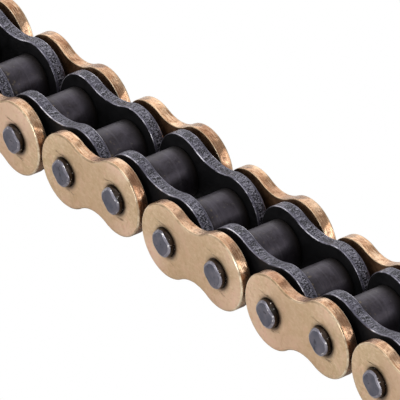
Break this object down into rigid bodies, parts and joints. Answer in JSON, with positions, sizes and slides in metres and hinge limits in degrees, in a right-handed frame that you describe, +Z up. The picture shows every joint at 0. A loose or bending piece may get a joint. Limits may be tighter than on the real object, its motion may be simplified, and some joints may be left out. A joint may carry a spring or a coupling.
{
  "type": "motorcycle drive chain",
  "caption": "Strand of sealed roller chain with light waisted outer plates, dark inner plates, spread pins, bushes, turning rollers and hinged links.",
  "frame": {"origin": "on the floor under the middle of the strand", "axes": "+X along the strand, +Y across it from the near plates to the far plates, +Z up"},
  "size_m": [0.221, 0.0246, 0.017],
  "materials": {
    "outer_plate": "satin",
    "inner_plate": "satin",
    "pin": "satin",
    "bush": "satin",
    "roller": "satin",
    "seal": "matte"
  },
  "bodies": {
    "inner_link1": {"inner1_plate_near": "inner_plate", "inner1_plate_far": "inner_plate", "inner1_bushes": "bush"},
    "inner_link2": {"inner2_plate_near": "inner_plate", "inner2_plate_far": "inner_plate", "inner2_bushes": "bush"},
    "inner_link3": {"inner3_plate_near": "inner_plate", "inner3_plate_far": "inner_plate", "inner3_bushes": "bush"},
    "inner_link4": {"inner4_plate_near": "inner_plate", "inner4_plate_far": "inner_plate", "inner4_bushes": "bush"},
    "inner_link5": {"inner5_plate_near": "inner_plate", "inner5_plate_far": "inner_plate", "inner5_bushes": "bush"},
    "inner_link6": {"inner6_plate_near": "inner_plate", "inner6_plate_far": "inner_plate", "inner6_bushes": "bush"},
    "inner_link7": {"inner7_plate_near": "inner_plate", "inner7_plate_far": "inner_plate", "inner7_bushes": "bush"},
    "roller_body1": {"roller1": "roller"},
    "roller_body2": {"roller2": "roller"},
    "roller_body3": {"roller3": "roller"},
    "roller_body4": {"roller4": "roller"},
    "roller_body5": {"roller5": "roller"},
    "roller_body6": {"roller6": "roller"},
    "roller_body7": {"roller7": "roller"},
    "roller_body8": {"roller8": "roller"},
    "roller_body9": {"roller9": "roller"},
    "roller_body10": {"roller10": "roller"},
    "roller_body11": {"roller11": "roller"},
    "roller_body12": {"roller12": "roller"},
    "roller_body13": {"roller13": "roller"},
    "roller_body14": {"roller14": "roller"},
    "outer_link1": {"outer1_plate_near": "outer_plate", "outer1_plate_far": "outer_plate", "outer1_pins": "pin", "outer1_seals": "seal"},
    "outer_link2": {"outer2_plate_near": "outer_plate", "outer2_plate_far": "outer_plate", "outer2_pins": "pin", "outer2_seals": "seal"},
    "outer_link3": {"outer3_plate_near": "outer_plate", "outer3_plate_far": "outer_plate", "outer3_pins": "pin", "outer3_seals": "seal"},
    "outer_link4": {"outer4_plate_near": "outer_plate", "outer4_plate_far": "outer_plate", "outer4_pins": "pin", "outer4_seals": "seal"},
    "outer_link5": {"outer5_plate_near": "outer_plate", "outer5_plate_far": "outer_plate", "outer5_pins": "pin", "outer5_seals": "seal"},
    "outer_link6": {"outer6_plate_near": "outer_plate", "outer6_plate_far": "outer_plate", "outer6_pins": "pin", "outer6_seals": "seal"}
  },
  "joints": [
    {"name": "pivot7", "type": "hinge", "parent": "inner_link4", "child": "outer_link4", "pos_m": [0.00794, 0, 0.00753], "axis": [0, 1, 0], "range_deg": [-24, 24]},
    {"name": "pivot8", "type": "hinge", "parent": "outer_link4", "child": "inner_link5", "pos_m": [0.02379, 0, 0.00839], "axis": [0, 1, 0], "range_deg": [-24, 24]},
    {"name": "pivot9", "type": "hinge", "parent": "inner_link5", "child": "outer_link5", "pos_m": [0.03965, 0, 0.00761], "axis": [0, 1, 0], "range_deg": [-24, 24]},
    {"name": "pivot10", "type": "hinge", "parent": "outer_link5", "child": "inner_link6", "pos_m": [0.05542, 0, 0.00944], "axis": [0, 1, 0], "range_deg": [-24, 24]},
    {"name": "pivot11", "type": "hinge", "parent": "inner_link6", "child": "outer_link6", "pos_m": [0.07126, 0, 0.00841], "axis": [0, 1, 0], "range_deg": [-24, 24]},
    {"name": "pivot12", "type": "hinge", "parent": "outer_link6", "child": "inner_link7", "pos_m": [0.08714, 0, 0.00841], "axis": [0, 1, 0], "range_deg": [-24, 24]},
    {"name": "pivot6", "type": "hinge", "parent": "inner_link4", "child": "outer_link3", "pos_m": [-0.00784, 0, 0.00922], "axis": [0, -1, 0], "range_deg": [-24, 24]},
    {"name": "pivot5", "type": "hinge", "parent": "outer_link3", "child": "inner_link3", "pos_m": [-0.02365, 0, 0.00775], "axis": [0, -1, 0], "range_deg": [-24, 24]},
    {"name": "pivot4", "type": "hinge", "parent": "inner_link3", "child": "outer_link2", "pos_m": [-0.03953, 0, 0.00764], "axis": [0, -1, 0], "range_deg": [-24, 24]},
    {"name": "pivot3", "type": "hinge", "parent": "outer_link2", "child": "inner_link2", "pos_m": [-0.0554, 0, 0.00764], "axis": [0, -1, 0], "range_deg": [-24, 24]},
    {"name": "pivot2", "type": "hinge", "parent": "inner_link2", "child": "outer_link1", "pos_m": [-0.07126, 0, 0.00839], "axis": [0, -1, 0], "range_deg": [-24, 24]},
    {"name": "pivot1", "type": "hinge", "parent": "outer_link1", "child": "inner_link1", "pos_m": [-0.08712, 0, 0.00764], "axis": [0, -1, 0], "range_deg": [-24, 24]},
    {"name": "roller1_spin", "type": "hinge", "parent": "inner_link1", "child": "roller_body1", "pos_m": [-0.10299, 0, 0.00764], "axis": [0, 1, 0], "continuous": true},
    {"name": "roller2_spin", "type": "hinge", "parent": "inner_link1", "child": "roller_body2", "pos_m": [-0.08712, 0, 0.00764], "axis": [0, 1, 0], "continuous": true},
    {"name": "roller3_spin", "type": "hinge", "parent": "inner_link2", "child": "roller_body3", "pos_m": [-0.07126, 0, 0.00839], "axis": [0, 1, 0], "continuous": true},
    {"name": "roller4_spin", "type": "hinge", "parent": "inner_link2", "child": "roller_body4", "pos_m": [-0.0554, 0, 0.00764], "axis": [0, 1, 0], "continuous": true},
    {"name": "roller5_spin", "type": "hinge", "parent": "inner_link3", "child": "roller_body5", "pos_m": [-0.03953, 0, 0.00764], "axis": [0, 1, 0], "continuous": true},
    {"name": "roller6_spin", "type": "hinge", "parent": "inner_link3", "child": "roller_body6", "pos_m": [-0.02365, 0, 0.00775], "axis": [0, 1, 0], "continuous": true},
    {"name": "roller7_spin", "type": "hinge", "parent": "inner_link4", "child": "roller_body7", "pos_m": [-0.00784, 0, 0.00922], "axis": [0, 1, 0], "continuous": true},
    {"name": "roller8_spin", "type": "hinge", "parent": "inner_link4", "child": "roller_body8", "pos_m": [0.00794, 0, 0.00753], "axis": [0, 1, 0], "continuous": true},
    {"name": "roller9_spin", "type": "hinge", "parent": "inner_link5", "child": "roller_body9", "pos_m": [0.02379, 0, 0.00839], "axis": [0, 1, 0], "continuous": true},
    {"name": "roller10_spin", "type": "hinge", "parent": "inner_link5", "child": "roller_body10", "pos_m": [0.03965, 0, 0.00761], "axis": [0, 1, 0], "continuous": true},
    {"name": "roller11_spin", "type": "hinge", "parent": "inner_link6", "child": "roller_body11", "pos_m": [0.05542, 0, 0.00944], "axis": [0, 1, 0], "continuous": true},
    {"name": "roller12_spin", "type": "hinge", "parent": "inner_link6", "child": "roller_body12", "pos_m": [0.07126, 0, 0.00841], "axis": [0, 1, 0], "continuous": true},
    {"name": "roller13_spin", "type": "hinge", "parent": "inner_link7", "child": "roller_body13", "pos_m": [0.08714, 0, 0.00841], "axis": [0, 1, 0], "continuous": true},
    {"name": "roller14_spin", "type": "hinge", "parent": "inner_link7", "child": "roller_body14", "pos_m": [0.10299, 0, 0.00764], "axis": [0, 1, 0], "continuous": true}
  ]
}
